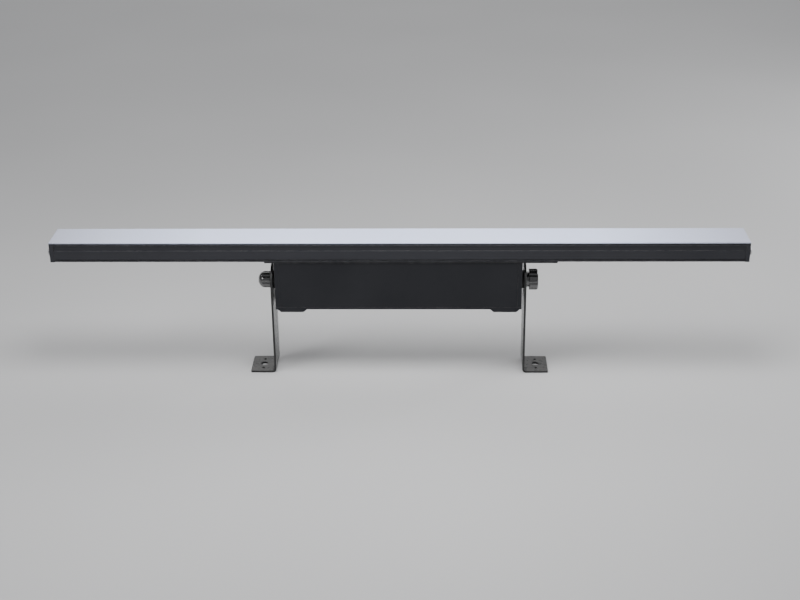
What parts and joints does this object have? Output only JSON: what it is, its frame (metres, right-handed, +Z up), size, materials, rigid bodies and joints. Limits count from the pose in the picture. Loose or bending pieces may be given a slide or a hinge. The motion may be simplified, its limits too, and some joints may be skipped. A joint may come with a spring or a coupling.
{
  "type": "outdoor wall washer light",
  "caption": "Slim outdoor light bar with a full-length opal top, on a driver box that tilts between bent strip brackets and is clamped by hand knobs.",
  "frame": {"origin": "on the mounting surface, midway between the main holes of the two feet", "axes": "+X along the light bar to the viewer's right, +Y from the front to the back with the cable gland, +Z up from the mounting surface"},
  "size_m": [1.0056, 0.073, 0.2085],
  "materials": {
    "bar_coating": "matte charcoal powder coat on extruded aluminium",
    "opal_sheet": "opal white satin polycarbonate",
    "seal_rubber": "black silicone",
    "screw_steel": "stainless steel",
    "board_white": "white solder mask",
    "chip_phosphor": "phosphor yellow",
    "inner_plastic": "white moulded plastic",
    "lead_sleeve": "black sleeve",
    "plate_coating": "matte charcoal powder coat",
    "box_coating": "matte charcoal powder coat",
    "driver_case": "plain aluminium case",
    "gland_plastic": "black nylon",
    "washer_nylon": "black nylon",
    "knob_plastic": "black moulded plastic, satin",
    "insert_brass": "turned brass",
    "bracket_steel": "grey galvanised strip steel"
  },
  "bodies": {
    "brackets": {"bracket_left": "bracket_steel", "bracket_right": "bracket_steel"},
    "lamp": {"housing_extrusion": "bar_coating", "diffuser_lens": "opal_sheet", "lens_gasket": "seal_rubber", "end_cap_left": "bar_coating", "end_cap_right": "bar_coating", "end_cap_seal_left": "seal_rubber", "end_cap_seal_right": "seal_rubber", "end_cap_screws_left": "screw_steel", "end_cap_screws_right": "screw_steel", "end_cap_washers_left": "seal_rubber", "end_cap_washers_right": "seal_rubber", "led_board_left": "board_white", "led_board_right": "board_white", "led_chips_left": "chip_phosphor", "led_chips_right": "chip_phosphor", "board_screws": "screw_steel", "board_connector": "inner_plastic", "lamp_lead": "lead_sleeve", "wire_grommet": "seal_rubber", "saddle_plate": "plate_coating", "slide_nuts": "screw_steel", "saddle_screw": "screw_steel", "box_top_screws": "screw_steel", "driver_box": "box_coating", "box_cover": "box_coating", "box_cover_seal": "seal_rubber", "box_cover_screws": "screw_steel", "box_end_plate_left": "box_coating", "box_end_plate_right": "box_coating", "box_end_seal_left": "seal_rubber", "box_end_seal_right": "seal_rubber", "box_end_screws_left": "screw_steel", "box_end_screws_right": "screw_steel", "driver_module": "driver_case", "driver_screws": "screw_steel", "terminal_block": "inner_plastic", "terminal_screws": "screw_steel", "earth_screw": "screw_steel", "feed_lead": "lead_sleeve", "gland_body": "gland_plastic", "gland_seal": "seal_rubber", "gland_nut": "gland_plastic", "gland_locknut": "gland_plastic", "pivot_stud_left": "screw_steel", "pivot_stud_right": "screw_steel", "friction_washer_left": "washer_nylon", "friction_washer_right": "washer_nylon", "steel_washer_left": "screw_steel", "steel_washer_right": "screw_steel"},
    "left_knob": {"knob_left": "knob_plastic", "knob_insert_left": "insert_brass"},
    "right_knob": {"knob_right": "knob_plastic", "knob_insert_right": "insert_brass"}
  },
  "joints": [
    {"name": "tilt", "type": "hinge", "parent": "brackets", "child": "lamp", "pos_m": [0, 0, 0.14], "axis": [1, 0, 0], "range_deg": [-90, 90]},
    {"name": "left_knob_turn", "type": "hinge", "parent": "lamp", "child": "left_knob", "pos_m": [-0.1866, 0, 0.14], "axis": [-1, 0, 0], "range_deg": [0, 360]},
    {"name": "right_knob_turn", "type": "hinge", "parent": "lamp", "child": "right_knob", "pos_m": [0.1866, 0, 0.14], "axis": [1, 0, 0], "range_deg": [0, 360]}
  ]
}
